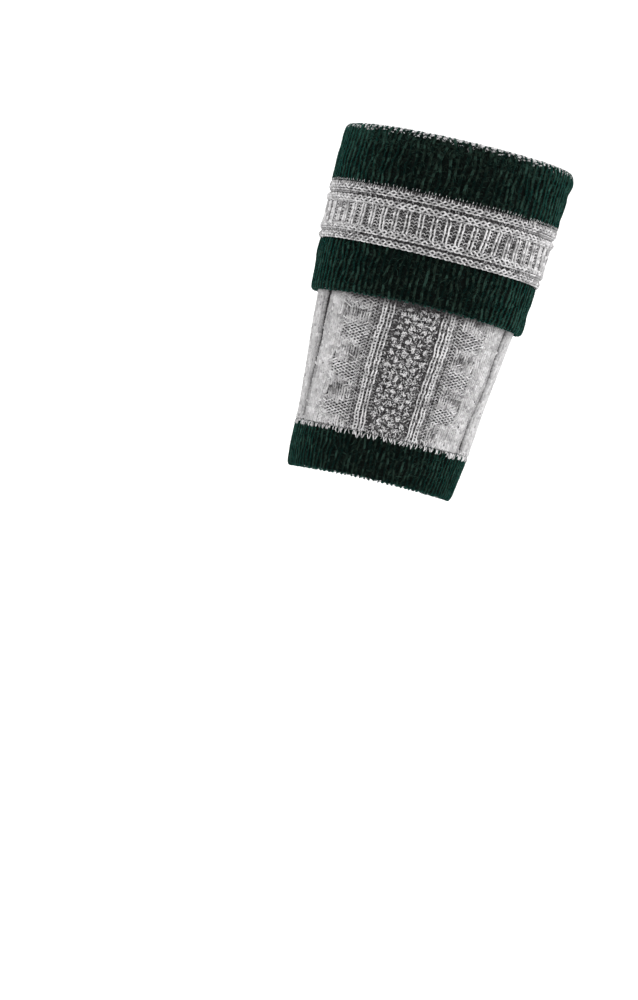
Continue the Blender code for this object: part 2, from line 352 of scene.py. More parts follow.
def dashes(yarn, path, starts, lengths, n, shade, chance, thick, count, slant=.15, turn=0.0):
    """Single legs of yarn that cross a change of colour, unevenly."""
    k = np.arange(count)[spread(count, 0, 1) < chance]
    t = np.linspace(0, 1, 4)[None]
    start = spread((len(k), 1), *starts)
    length = spread((len(k), 1), *lengths)
    tilt = spread((len(k), 1), -slant, slant)
    aa = math.tau * (k[:, None] + .5 + spread((len(k), 1), -.2, .2)) / count + turn
    uu = start + length * t
    aa = aa + tilt * t * np.abs(length) / path.at(uu)[1]
    aa = aa + wander(aa, path.at(uu)[0])
    w = thick * np.array([[.8, 1, .9, .5]]) * spread((len(k), 1), .8, 1.2)
    nn = n + np.array([[-.0003, .0002, .0002, -.0002]]) + 0 * aa
    yarn.add(path, aa, uu, nn, w, w * 1.1, shade(len(k)))


def tones(low, high):
    return lambda count: spread(count, low, high)


def dusky(high=1.0):
    """Mostly dark, with a few stitches that catch the light."""
    return lambda count: high * rng.beta(1.2, 2.3, count)


def steady(value):
    return lambda a, u: value + 0 * a


# ---- The body's stitch pattern ---------------------------------------------------------------

# The front panel's middle and how far its columns spread, by height: height, middle, spread.
DRIFT = np.array([(.024, .6, 1.00), (.030, .7, 1.01), (.045, 1.0, 1.05), (.060, 1.35, 1.055),
                  (.072, 1.7, 1.02), (.085, 1.8, 1.0), (.104, 1.8, 1.0)])
FIRST_ROW = .0270
# Degrees from the panel's middle to the cable's inner edge.
CABLE_IN = 27.2
# The purl line beyond each cable, and where it runs: height, degrees from the panel's middle.
PURL_LINE = {
    -1: np.array([(.024, 68.0), (.036, 67.0), (.048, 65.6), (.060, 64.2), (.072, 62.3),
                  (.100, 60.8)]),
    1: np.array([(.024, 61.8), (.042, 62.7), (.057, 64.0), (.070, 63.9), (.085, 64.1),
                 (.100, 64.2)]),
}
# Degrees: how wide the line is, how far the cable stays from it, and what the side's wales take.
PURL_LINE_WIDTH = 3.8
PURL_LINE_MARGIN = 2.2
SIDE_DEGREES = 25.5
SIDE_WALES = 6
# Where the rows and the loose hairs end, under the cuff.
PANEL_TOP = .1035
HAIRS_TOP = .101
# The cables: the height of a turn, that of the first crossing on each side, and the wales.
CABLE_PITCH = .0220
CABLE_FIRST = {-1: .0338, 1: .0415}
CABLE_WALES = 10
CABLE_DEGREES = 34.5
# The open mesh at a crossing: its chains' slope, their distance and the length of a stitch.
MESH_SLOPE = 1.45
MESH_STEP = 1 / 8.5
MESH_BEAD = .00090
MESH_BOTTOM = .0250
MESH_TOP = .1030
# The body's mean radius at the moss stitch.
MOSS_RADIUS = .053
Wale = namedtuple("Wale", "degrees width kind")
HALF_PANEL = (
    Wale(1.9, 3.7, "moss"), Wale(5.6, 3.7, "moss"), Wale(9.3, 3.7, "moss"),
    Wale(12.5, 2.9, "gutter"),
    Wale(15.7, 4.2, "rib"), Wale(20.05, 4.0, "wide_rib"),
    Wale(23.0, 2.1, "hatch"), Wale(24.9, 2.1, "hatch"), Wale(26.7, 2.1, "light_hatch"),
)
# Where the cable's stitches are drawn open and the cloth under them shows; their yarn is also
# darker there, as painted shade.
Opening = namedtuple("Opening", "degrees height turn_reach height_reach")
OPENINGS = (
    Opening(-37, .046, 3.5, .004), Opening(-31, .066, 3.0, .005), Opening(-43, .091, 5.0, .005),
    Opening(-34, .089, 3.5, .005), Opening(-43, .044, 2.5, .003), Opening(31, .074, 3.0, .004),
    Opening(40, .075, 4.0, .003), Opening(33, .053, 3.0, .004), Opening(42, .052, 3.5, .004),
    Opening(38, .097, 4.0, .003), Opening(30, .032, 3.0, .003),
)


def panel_angle(degrees, s, back):
    """The angle of a column of the panel at each height."""
    middle = np.interp(s, DRIFT[:, 0], DRIFT[:, 1])
    scale = np.interp(s, DRIFT[:, 0], DRIFT[:, 2])
    fade = 1 - np.abs(degrees) / 90
    return np.radians(degrees * (1 + (scale - 1) * fade) + middle * fade + (180 if back else 0))


def line_degrees(s, side):
    return np.interp(s, *PURL_LINE[side].T)


def cable_degrees(across, s, side):
    """A place across the cable, from 0 at its inner edge to 1 at the purl line."""
    return side * (CABLE_IN + (line_degrees(s, side) - PURL_LINE_MARGIN - CABLE_IN) * across)


def openness(degrees, s):
    """How far the stitches are drawn open, from 0 to 1."""
    total = 0 * s
    for o in OPENINGS:
        total = total + bump(o, degrees - o.degrees, s)
    return np.clip(total, 0, 1)


def cable_turn(s, side):
    """The distance to the nearest crossing, in turns of the cable."""
    turns = (s - CABLE_FIRST[side]) / CABLE_PITCH
    return turns - np.round(turns)


def body_relief(degrees, s):
    """The shell's own relief under the stitches. degrees is from the panel's middle, signed."""
    d = np.abs(degrees)
    table = ((0, -.0002), (10.6, -.0002), (12.5, -.0009), (13.8, .0001), (21.8, .0001),
             (22.8, -.0008), (26.2, -.0008), (27.4, 0), (90, 0))
    flat = np.interp(d, *np.array(table).T)
    line = np.where(degrees < 0, line_degrees(s, -1), line_degrees(s, 1))
    flat = flat - .0012 * np.exp(-((d - line) / 2.3)**2)
    across = (d - CABLE_IN) / (line - PURL_LINE_MARGIN - CABLE_IN)
    inside = (across > 0) & (across < 1)
    return np.where(inside, chain_rise(across) - .0006, flat)


def height_of(path, u):
    return path.at(u)[0]


def painted_cuff_shadow(s, a):
    """Painted shadow: the share of the yarn's tone left where the cuff's edge overhangs the body,
    darkest next to the edge.
    """
    return np.interp(s - .0022 * np.sin(a)**2, (.0940, .0966, .0985, .1005), (1, .68, .34, .12))


def body_stitches(back):
    """The yarn of the body's front or back half: the panel, the cables and the sides."""
    # The body's yarn is darkened under the cuff's edge: a painted shadow of the cuff.
    yarn = Yarn(painted_cuff_shadow)
    number = np.arange(-1, int((PANEL_TOP - FIRST_ROW) / ROW))
    rows = BODY.of_height(FIRST_ROW) + number * ROW
    for side in (-1, 1):
        for index, wale in enumerate(HALF_PANEL):
            def column(u, d=side * wale.degrees):
                return panel_angle(d, height_of(BODY, u), back)

            wide = math.radians(wale.width)
            if wale.kind == "moss":
                moss_stitches(yarn, column, wide, rows, number, index + (side > 0))
            elif wale.kind == "gutter":
                gutter_stitches(yarn, column, wide, rows, 3 + side)
            elif wale.kind == "rib":
                rib_stitches(yarn, column, wide, rows, (.46, 1.0), (.42, .80))
            elif wale.kind == "wide_rib":
                rib_stitches(yarn, column, wide, rows, (.56, 1.06), (.64, 1.0))
            else:
                light = .25 if wale.kind == "light_hatch" else 0
                purl(yarn, BODY, column, wide, rows + ROW * .5 * (index % 2),
                     steady(-.0006 + .001 * light), tones(.24 + light, .88 + light), .8, .16, .56)
        cable_stitches(yarn, rows, side, back)
        side_stitches(yarn, rows, side, back)
    # Short bumps of yarn all over the moss stitch, which let its cells run into each other.
    turn = tuple(math.radians(d) + (math.pi if back else 0) for d in (-11.6, 14.8))
    # A share of these bumps is dark: painted shade between them.
    hairs(yarn, BODY, 430, (.0006, .0014), (.00014, .00027), (.0002, .0011),
          speckled_with_painted_shade(.2, 1.1, .25), (0, BODY.of_height(.1015)), turn, Yarn.ROUND)
    return yarn


def gutter_stitches(yarn, column, wide, rows, bights):
    """The sunk wale beside the moss stitch, with bights that stray into it."""
    # The sunk purls take darker tones than the raised stitches, some below the darkest: painted
    # shade of the gutter.
    purl(yarn, BODY, column, wide, rows, steady(-.0007), tones(-.35, .76), .5, .15,
         section=Yarn.LOW)
    tangle(yarn, column, rows[::2] + .8 * ROW, -.0003, speckled_with_painted_shade(.05, 1.05, .42), bights,
           .0014, .00145, .00026)


def rib_stitches(yarn, column, wide, rows, legs, gaps):
    """A wale whose two legs stand as thin lines, with rungs of yarn sunk in and beside it."""
    knit(yarn, BODY, column, wide, rows, steady(.0007), tones(*legs), (.22, .28), .112,
         body=(.70, 1.05, 1.05, .65), loose=1.4)
    light = gaps[0] > .5
    purl(yarn, BODY, column, wide * .5, rows, steady(.0003 * light), tones(*gaps), .3,
         .17 + .07 * light, .5)
    # The rung beside the wale takes darker tones: painted shade of the sunk purl.
    purl(yarn, BODY, lambda u: column(u) + .5 * wide, wide * .5, rows, steady(-.0001),
         tones(.20, .60), .3, .17, .5)


def side_stitches(yarn, rows, side, back):
    """The purl line beyond the cable, and the close stitches round the side of the leg."""
    def beside(part):
        def column(u):
            s = height_of(BODY, u)
            line = line_degrees(s, side)
            return panel_angle(side * (line + (90 - line) * part), s, back)
        return column

    # The purl line's sunk arches take dark tones: painted shade of the line.
    purl(yarn, BODY, beside(0), math.radians(PURL_LINE_WIDTH), rows, steady(-.0009),
         tones(.0, .50), .4, .14, section=Yarn.LOW)
    for number, part in enumerate((np.arange(SIDE_WALES) + 1.05) / (SIDE_WALES + .55)):
        # The wale next to the purl line is darker, painted shade beside it, and the right side's
        # wales are lighter, painted light from that side.
        tone = .55 - .17 * (number == 0) + .04 * (side > 0)
        knit(yarn, BODY, beside(part), math.radians(SIDE_DEGREES / SIDE_WALES), rows,
             steady(.0002), tones(tone, tone + .18), (.13, .37), .235, sink=.6)


def speckled_with_painted_shade(low, high, dark):
    """Tones of which a share is dark: painted shade for the gaps between the bights."""
    return lambda count: np.where(spread(count, 0, 1) < dark, spread(count, -.4, .1),
                                  spread(count, low, high))


def tangle(yarn, column, u, n, shade, bights, reach, length, thick):
    """Short bights of yarn in every direction about each stitch's middle, which stands highest."""
    t = np.array([[-.5, -.17, .2, .5]])
    one = (len(u), 1)
    for k in range(bights):
        off = reach * spread(one, 0, 1)**.6
        circling = math.tau * (k + spread(one, 0, 1)) / bights
        way = spread(one, 0, math.tau) + spread(one, -.8, .8) * t
        long = length * spread(one, .6, 1.3) * t
        uu = u[:, None] + np.sin(circling) * off + np.sin(way) * long
        aa = column(uu) + (np.cos(circling) * off + np.cos(way) * long) / MOSS_RADIUS
        aa = aa + wander(aa, height_of(BODY, uu))
        w = thick * np.array([[.7, 1.15, 1.1, .6]]) * spread(one, .8, 1.2)
        arch = np.array([[-.0002, .0003, .0003, -.0002]])
        nn = n + arch + .0006 * (1 - off / reach) + spread(one, -.0002, .0002)
        yarn.add(BODY, aa, uu, nn, w, w * 1.1, shade(len(u)))


def moss_stitches(yarn, column, wide, rows, number, offset):
    """Cells of two rows: stitches whose bights spread to the next columns, then sunk ones."""
    raised = (number // 2 + offset) % 2 == 0
    even = number % 2 == 0
    bright = rows[raised & even] + .8 * ROW
    tangle(yarn, column, bright, .0003, speckled_with_painted_shade(.48, 1.18, .14), 12, .0018, .00150, .00028)
    knit(yarn, BODY, column, wide, bright, steady(.0008), tones(.60, 1.2), (.05, .16), .090,
         reach=(-.30, .40), body=(.8, 1.1, 1.1, .7), loose=3.5)
    # The sunk cells' stitches take darker tones than the raised cells': painted shade.
    dim = rows[~raised & even]
    tangle(yarn, column, dim + .8 * ROW, -.0001, speckled_with_painted_shade(.14, 1.08, .26), 10, .0017, .00130,
           .00025)
    purl(yarn, BODY, column, wide, dim, steady(-.0006), tones(-.1, .40), .5, .11,
         section=Yarn.LOW)


def mesh_reach(across):
    """How far the mesh reaches above and below a crossing, in turns of the cable."""
    return np.interp(across, (0, .35, .7, 1), (.42, .36, .25, .12))


def cable_stitches(yarn, rows, side, back):
    """The cable's close stitches, left out where the open mesh of a crossing takes over."""
    s = height_of(BODY, rows)
    turn = cable_turn(s, side)
    wide = math.radians(CABLE_DEGREES / CABLE_WALES)
    for across in (np.arange(CABLE_WALES) + .5) / CABLE_WALES:
        def column(u, p=across):
            h = height_of(BODY, u)
            lean = .024 * np.sin(2 * math.pi * cable_turn(h, side)) * (1 - 2 * abs(p - .5))
            return panel_angle(cable_degrees(p + lean * np.sign(p - .5), h, side), h, back)

        ragged = mesh_reach(across) - .17 + rng.uniform(-.03, .03)
        shown = (np.abs(turn) > ragged) | (across > .54)
        kept = rows[shown]
        opened = openness(cable_degrees(across, s[shown], side), s[shown])
        rise = chain_rise(across) - .0003 * opened
        thick = (.155 + .085 * across) * (1 - .3 * opened[:, None])
        edge = .16 * (across > .9) + .05 * (across > .8)
        # The tone is lowered where the stitches are drawn open and at the outer wales beside the
        # purl line: painted shade.
        tone = spread(len(kept), .36 + .26 * across, .86 - .06 * across) - .25 * opened - edge
        knit(yarn, BODY, column, wide, kept, lambda a, u, r=rise: r[:, None] + 0 * a,
             lambda count, c=tone: c, (.15, .35), thick, sink=1.1 - .5 * across)
    for crossing in range(-1, 5):
        middle = CABLE_FIRST[side] + crossing * CABLE_PITCH
        for slope in (-1, 1):
            mesh_lines(yarn, middle, side, slope, back)


def chain_rise(across):
    """The cable's two strands side by side, as low round forms."""
    strand = np.abs((across % .5) - .25) / .25
    return .0003 + .0006 * np.sqrt(np.clip(1 - strand**2, 0, 1))


def mesh_lines(yarn, middle, side, slope, back):
    """One of the two sets of parallel chains at a crossing, each a line of short lengths."""
    span = .45 * CABLE_PITCH
    for number in range(-9, 19):
        start = number * MESH_STEP
        h = middle + np.arange(-span, span, MESH_BEAD)
        across = start + slope * MESH_SLOPE * (h - middle) / CABLE_PITCH
        room = mesh_reach(across) * CABLE_PITCH * spread(len(h), .66, 1.22)
        kept = (across > -.02) & (across < 1.02) & (np.abs(h - middle) < room)
        kept &= (h > MESH_BOTTOM) & (h < MESH_TOP)
        kept &= spread(len(h), 0, 1) > .95 * (across - .56)
        if not kept.any():
            continue
        h, across = h[kept], across[kept]
        t = np.linspace(-.16, 1.16, 4)[None]
        hh = h[:, None] + MESH_BEAD * t
        aa = across[:, None] + slope * MESH_SLOPE * MESH_BEAD * t / CABLE_PITCH
        aa = panel_angle(cable_degrees(aa, hh, side), hh, back)
        aa = aa + wander(aa, hh) + spread((len(h), 1), -.004, .004)
        # Each chain passes over and under the other set in turn.
        over = np.where((np.arange(len(h)) + number) % 2 == 0, 1, -1)[:, None] * slope
        strand = np.sqrt(np.clip(1 - ((across - .5) / .5)**2, 0, 1))[:, None]
        nn = .0005 + .0004 * strand + over * np.array([[.00012, .00020, .00020, .00012]])
        w = (.00029 + .00008 * across[:, None]) * spread((len(h), 1), .80, 1.25)
        tone = spread(len(h), .42, .98) - .06 * (across > .5)
        yarn.add(BODY, aa, BODY.of_height(hh), nn, w, w * 1.1, tone)


# ---- The cuff and the hem --------------------------------------------------------------------

RIB_DEPTH = .0006
# How far a green wale strays, in radians, and at how many places.
STRAY = .0090
STRAY_STOPS = 7
LADDER_RIBS = 54
LADDER_TURN = math.radians(4.1)
LADDER_ROW = .00180
# The heights of each garter ridge's three rounds.
RIDGES = ((.1285, .1296, .1307), (.1337, .1348, .1359), (.1506, .1517, .1528),
          (.1562, .1574, .1586))
RIDGE_STITCHES = 108
LEGS_ROUND = 216
# The light yarn on the fold: its first height, its stitches and the depth of its uneven rounds.
FOLD_START = .1911
FOLD_STITCHES = 210
LIGHT_ROUNDS = .0052
SEAM_LOOPS = 100


def ring_column(index, count=STITCHES, turn=0.0):
    angle = math.tau * index / count + turn
    return lambda u: angle + 0 * u


def straying(index, length):
    """A column of a ring that strays a little to each side on its way."""
    angle = math.tau * index / STITCHES
    stray = rng.normal(0, STRAY, STRAY_STOPS)
    stops = np.linspace(0, length, STRAY_STOPS)
    return lambda u: angle + np.interp(u, stops, stray)


def shifting(count):
    """Tones that change from row to row, mostly dark."""
    own = rng.beta(.9, 1.9, count + 1)
    return (.72 * own[:-1] + .28 * own[1:]) * 1.45 - .12


def green_rib(path, low, high, down=True):
    """One by one rib: narrow knit wales that stand out and purl wales sunk between them."""
    yarn = Yarn()
    rows = np.arange(low, high, ROW)
    wide = math.tau / STITCHES
    for k in range(STITCHES):
        ragged = rows + rng.uniform(-.3, .3) * ROW
        column = straying(k, path.length)
        knit(yarn, path, column, wide * .50, ragged, steady(.0004), shifting, (.10, .22), .205,
             down=down, loose=2.4, sink=.45)
        # The sunk purl wales take darker tones than the knit wales: painted shade.
        purl(yarn, path, lambda u: column(u) + wide / 2, wide * .52, ragged, steady(-RIB_DEPTH),
             dusky(.55), .45, .24, section=Yarn.LOW)
    # Bights of yarn that stand out of the rib and curl, then the fine fibres.
    hairs(yarn, path, int(34000 * path.length), (.0022, .0048), (.00008, .00017),
          (.0006, .0011), dusky(1.4), (low, high))
    hairs(yarn, path, int(62000 * path.length), (.0012, .0034), (.00003, .00006),
          (.0005, .0014), tones(.2, 1.2))
    return yarn


def to_the_sides(count, front, side):
    """Chances round the leg, from one value at the front and back to another at its sides."""
    turn = math.tau * (np.arange(count) + .5) / count
    return front + (side - front) * np.abs(np.sin(turn))**4


def ladder_stitches(yarn, rib, low, high):
    """One rib of the ladder, sunk purls under it, and two wales of arches up to the next rib."""
    wide = math.tau / LADDER_RIBS
    rows = np.arange(low, high, ROW) + rng.uniform(-.3, .3) * ROW
    # Painted light: the sunk purls and the arches are made lighter towards the leg's sides, where
    # the side light falls.
    painted_side_light = .30 * math.sin(math.tau * rib / LADDER_RIBS)**2
    column = ring_column(rib, LADDER_RIBS, LADDER_TURN)
    knit(yarn, PATTERN, column, wide * .31, rows, steady(.0006), tones(.46, 1.1), (.42, .50),
         .215, body=(.62, 1.10, 1.05, .54), down=True, loose=1.7)
    # The sunk purls under the rib take darker tones: painted shade.
    purl(yarn, PATTERN, column, wide * .25, rows, steady(.0),
         tones(.06 + painted_side_light, .58 + painted_side_light), .3, .22, .6, section=Yarn.LOW)
    for part in (.34, .66):
        arches = np.arange(low, high, LADDER_ROW) + rng.uniform(-.15, .15) * LADDER_ROW
        purl(yarn, PATTERN, ring_column(rib + part, LADDER_RIBS, LADDER_TURN), wide * .33,
             arches, steady(-.0001), tones(.12 + painted_side_light, 1.0), .70, .118 + .12 * painted_side_light, .56)


def pattern_stitches():
    """The cuff's grey band: the ladder, the garter ridges, and the legs that join them."""
    yarn = Yarn()
    low, high = PATTERN.of_height(.1364), PATTERN.of_height(.1490)
    for rib in range(LADDER_RIBS):
        ladder_stitches(yarn, rib, low, high)
    for number, ridge in enumerate(RIDGES):
        outer = number in (0, 3)
        for k, s in enumerate(ridge):
            wave(yarn, PATTERN, PATTERN.of_height(s), k % 2, .00042, .00045 - .00004 * outer,
                 .0004, tones(.40 - .08 * outer, 1.0), RIDGE_STITCHES)
    # Slanted legs in the grooves, more of them at the sides, and the top ridge's stitch ends. The
    # legs down in the grooves take dark tones: painted shade.
    for s, front, high in ((.1543, .55, .0013), (.1318, .10, .0010), (.1491, .30, .0010)):
        groove = PATTERN.of_height(s)
        starts = (groove, groove + .0003)
        for lift in (-.0003, .0002):
            dashes(yarn, PATTERN, starts, (.0007, high), lift, tones(.10, .70),
                   to_the_sides(LEGS_ROUND, front, 1.2), .00030, LEGS_ROUND, .8)
        dashes(yarn, PATTERN, starts, (.0010, .0014), .0004, tones(.45, .85),
               to_the_sides(LEGS_ROUND, 0, 1.9), .00038, LEGS_ROUND, .5)
    top = PATTERN.of_height(RIDGES[3][2])
    dashes(yarn, PATTERN, (top, top + .0007), (.0014, .0023), .0007, tones(.35, .90), .95,
           .00023, LEGS_ROUND)
    dashes(yarn, PATTERN, (top + .0004, top + .0010), (.0012, .0018), .0006, tones(.40, .90),
           to_the_sides(LEGS_ROUND, .1, 1.0), .00026, LEGS_ROUND, turn=.006)
    hairs(yarn, PATTERN, 2600, (.0012, .0030), (.00002, .00005), (.0006, .0012), tones(.3, .9))
    return yarn


def fold_stitches():
    """The light yarn's first rounds where the cuff turns over, and the rows inside it."""
    yarn = Yarn()
    start = UPPER.of_height(FOLD_START)
    turn = math.tau * np.arange(FOLD_STITCHES) / FOLD_STITCHES
    for step in np.arange(0, LIGHT_ROUNDS, .0007):
        chance = min(.84, .10 + 250 * step) * (.72 + .28 * np.cos(turn - .9))
        for k in np.flatnonzero(spread(FOLD_STITCHES, 0, 1) < chance):
            purl(yarn, UPPER, ring_column(k + rng.uniform(-.3, .3), FOLD_STITCHES),
                 math.tau / FOLD_STITCHES, [start + step + rng.uniform(-.0003, .0003)],
                 steady(.0003), tones(.50, 1.15), .45, .165, .46, row=.0010)
    dashes(yarn, UPPER, (start, start + .0016), (-.0010, .0010), .0005, tones(.5, 1.1), .40,
           .00017, 300, .9)
    inner = np.arange(start + LIGHT_ROUNDS, UPPER.length - .0004, ROW)
    for k in range(STITCHES):
        purl(yarn, UPPER, ring_column(k), math.tau / STITCHES,
             inner + rng.uniform(-.3, .3) * ROW, steady(.0002), tones(.4, .9), .5, .15)
    hairs(yarn, UPPER, 700, (.0010, .0022), (.00003, .00006), (.0006, .0013), tones(.5, 1.0),
          (start, UPPER.length))
    return yarn


def seam_loops(yarn):
    """The body's last light loops, which hang over the green hem's top, and the rounds above."""
    top = HEM.length
    for k in np.flatnonzero(spread(SEAM_LOOPS, 0, 1) < .85):
        column = ring_column(k + rng.uniform(-.25, .25), SEAM_LOOPS, .02)
        depth = rng.uniform(.0010, .0030)
        knit(yarn, HEM, column, math.tau / 94, [top - depth], steady(.0006), tones(.45, 1.0),
             (.05, .32), rng.uniform(.07, .12), row=depth, down=rng.random() < .35,
             reach=(-.1, 1.0), loose=3.0)
    dashes(yarn, HEM, (top - .0002, top), (-.0030, -.0006), .0007, tones(.3, 1.0), .75,
           .00024, 260, .6)
    dashes(yarn, BODY, (0, .0010), (.0010, .0026), .0007, tones(.25, 1.0), .9, .00030, 230, .7)
    dashes(yarn, BODY, (.0012, .0022), (-.0026, -.0012), .0005, tones(.25, .9), .8, .00028,
           190, .7)


def lining_stitches(path, count, low, high, shade):
    """The wrong side of the cloth, which shows through the mouths: rows of purl arches."""
    yarn = Yarn()
    rows = np.arange(low, high, ROW)
    near = (rows < low + .012) | (rows > high - .045)
    for k in range(count):
        for kept, section in ((rows[near], Yarn.LOW), (rows[~near], Yarn.FLAT)):
            purl(yarn, path, ring_column(k, count), math.tau / count,
                 kept + (k % 2) * ROW / 2, steady(-.0001), shade, .55, .15, .56,
                 section=section)
    return yarn


# ---- Shells ----------------------------------------------------------------------------------

def shell(name, path, relief, inside, around, along, materials, second_from=None):
    """A closed thin wall: the outside on its path with relief, the inside on its own profile.
    From second_from along the path, the outside has the inside's material too."""
    a = np.arange(around) * math.tau / around
    u = np.linspace(0, path.length, along)
    grid_a, grid_u = np.meshgrid(a, u)
    outer, _ = place(path, grid_a, grid_u, relief(grid_a, path.at(grid_u)[0]))
    inner_path = Path(inside, path.hung_from, path.base)
    steps = max(8, along // 3)
    grid_a, grid_u = np.meshgrid(a, np.linspace(0, inner_path.length, steps))
    inner, _ = place(inner_path, grid_a, grid_u, 0 * grid_a)
    points = np.vstack([outer.reshape(-1, 3), inner.reshape(-1, 3)])
    rows = along + steps
    index = np.arange(rows * around).reshape(rows, around)
    nxt, right = np.roll(index, -1, 0), np.roll(index, -1, 1)
    both = np.roll(nxt, -1, 1)
    quads = np.stack([index, right, both, nxt], -1)
    faces_of = np.zeros((rows, around), int)
    faces_of[along:rows - 1] = 1
    if second_from:
        faces_of[:along][u > second_from] = 1
    return mesh_object(name, points, quads.reshape(-1, 4), materials, faces_of=faces_of.reshape(-1))


def ribs_relief(a, s):
    return -.0002 - RIB_DEPTH * (.5 - .5 * np.cos(STITCHES * a))


def plain_relief(a, s):
    return -.0009 + 0 * a


def signed_degrees(a):
    return np.degrees(np.angle(np.exp(1j * a)))


def body_shell_relief(a, s):
    """The front panel's relief and the same turned half round, fading out behind the cuff."""
    degrees = signed_degrees(a)
    flipped = np.where(np.abs(degrees) > 90, signed_degrees(a - math.pi), degrees)
    shown = np.clip((.1075 - s) / .004, 0, 1)
    return body_relief(flipped, s) * shown - .0004


# ---- Materials -------------------------------------------------------------------------------

# How strongly the large blotches change the tone.
BLOTCHES = .25


def nodes_of(name):
    material = bpy.data.materials.new(name)
    material.use_nodes = True
    tree = material.node_tree
    return material, tree, tree.nodes["Principled BSDF"]


def fill(tree, node, inputs):
    """Sets a node's inputs, by name or number, to values or to other nodes' outputs."""
    for key, value in inputs.items():
        if isinstance(value, bpy.types.NodeSocket):
            tree.links.new(value, node.inputs[key])
        else:
            node.inputs[key].default_value = value
    return node


def add_node(tree, kind, inputs, **settings):
    node = tree.nodes.new("ShaderNode" + kind)
    for key, value in settings.items():
        setattr(node, key, value)
    return fill(tree, node, inputs)


def noise(tree, where, scale, detail=2):
    return add_node(tree, "TexNoise", {"Vector": where.outputs["Object"], "Scale": scale,
                                       "Detail": detail})


def colours(tree, factor, *stops):
    """A ramp through (position, colour) stops, from the darkest to the lightest."""
    ramp = add_node(tree, "ValToRGB", {"Fac": factor})
    elements = ramp.color_ramp.elements
    for _ in stops[2:]:
        elements.new(.5)
    for element, (position, colour) in zip(elements, stops):
        element.position, element.color = position, (*colour, 1)
    return ramp.outputs["Color"]


def wool(name, dark, light, sheen, tint, variation=.35, middle=None):
    """Yarn: its colour varies from stitch to stitch and along the fibres."""
    material, tree, shader = nodes_of(name)
    where = add_node(tree, "TexCoord", {})
    shade = add_node(tree, "Attribute", {}, attribute_name="shade")
    grain = noise(tree, where, 900, 4)
    blotch = noise(tree, where, 120)
    both = add_node(tree, "Math", {0: grain.outputs["Fac"], 1: variation, 2: shade.outputs["Fac"]},
                    operation="MULTIPLY_ADD")
    more = add_node(tree, "Math", {0: blotch.outputs["Fac"], 1: BLOTCHES, 2: both.outputs[0]},
                    operation="MULTIPLY_ADD")
    less = add_node(tree, "Math", {0: more.outputs[0], 1: (variation + BLOTCHES) / 2},
                    operation="SUBTRACT")
    stops = [(.15, dark), (.5, middle), (1.0, light)] if middle else [(.15, dark), (1.0, light)]
    plies = add_node(tree, "TexWave", {"Vector": where.outputs["UV"], "Scale": 2.2,
                                       "Distortion": 1.5}, bands_direction="DIAGONAL")
    fibre = add_node(tree, "Bump", {"Height": grain.outputs["Fac"], "Strength": .35,
                                    "Distance": .0003})
    twist = add_node(tree, "Bump", {"Height": plies.outputs["Fac"], "Strength": .3,
                                    "Distance": .0002, "Normal": fibre.outputs["Normal"]})
    fill(tree, shader, {
        "Base Color": colours(tree, less.outputs[0], *stops), "Normal": twist.outputs["Normal"],
        "Roughness": .92, "Specular IOR Level": .06, "Sheen Weight": sheen,
        "Sheen Roughness": .45, "Sheen Tint": (*tint, 1)})
    return material


def ground(name, dark, light, sheen=.1, tint=(1, 1, 1)):
    """The cloth under the stitches, with a fine grain. For the recesses it takes dark tones:
    painted shade between the stitches.
    """
    material, tree, shader = nodes_of(name)
    where = add_node(tree, "TexCoord", {})
    grain = noise(tree, where, 420, 5)
    relief = add_node(tree, "Bump", {"Height": grain.outputs["Fac"], "Strength": .6,
                                     "Distance": .0006})
    fill(tree, shader, {
        "Base Color": colours(tree, grain.outputs["Fac"], (.32, dark), (.72, light)),
        "Normal": relief.outputs["Normal"], "Roughness": .95, "Specular IOR Level": .1,
        "Sheen Weight": sheen, "Sheen Tint": (*tint, 1)})
    return material


GREEN_TINT = (.02, 1.0, .78)
grey_yarn = wool("grey_melange_yarn", (.075, .073, .074), (.72, .71, .715), .08, (1, 1, 1), .5)
green_yarn = wool("bottle_green_yarn", (.0008, .0013, .0010), (.019, .039, .030), .18, GREEN_TINT,
                  middle=(.0098, .0140, .0098))
# The recess materials are dark as painted shade between the stitches.
grey_ground_painted_shade = ground("grey_recess_painted_shade", (.022, .021, .022), (.095, .09, .093))
green_ground_painted_shade = ground("green_recess_painted_shade", (.0006, .0010, .0009), (.0022, .0045, .0035), .02, GREEN_TINT)
grey_inside = ground("grey_inside", (.22, .215, .21), (.60, .59, .58), .2)
green_inside = ground("green_inside", (.004, .009, .007), (.012, .030, .023), .1, GREEN_TINT)


# ---- The pieces ------------------------------------------------------------------------------

GREEN_CLOTH = [green_ground_painted_shade, green_inside]
GREY_CLOTH = [grey_ground_painted_shade, grey_inside]
hem_shell = shell("hem_cloth", HEM, ribs_relief, HEM_IN, 416, 14, GREEN_CLOTH)
body_shell = shell("body_cloth", BODY, body_shell_relief, BODY_IN, 256, 64, GREY_CLOTH)
lower_shell = shell("cuff_lower_cloth", LOWER, ribs_relief, LOWER_IN, 416, 14, GREEN_CLOTH)
pattern_shell = shell("cuff_pattern_cloth", PATTERN, plain_relief, PATTERN_IN, 216, 26, GREY_CLOTH)
upper_shell = shell("cuff_upper_cloth", UPPER, ribs_relief, UPPER_IN, 416, 24,
                    [green_ground_painted_shade, grey_inside], UPPER.of_height(FOLD_START) + .0040)

# Small dark tufts in the light wool: degrees round from the front, height, size.
NEPS = ((-54, .058, .0006), (-61.5, .072, .0004), (58.7, .0555, .0005), (50.5, .0395, .0007),
        (76, .050, .0004), (-70, .090, .0003), (24.5, .082, .0003), (137, .066, .0006),
        (163, .088, .0005), (205, .045, .0006), (243, .078, .0005), (-96, .039, .0004))
TUFT_RADIUS = .054


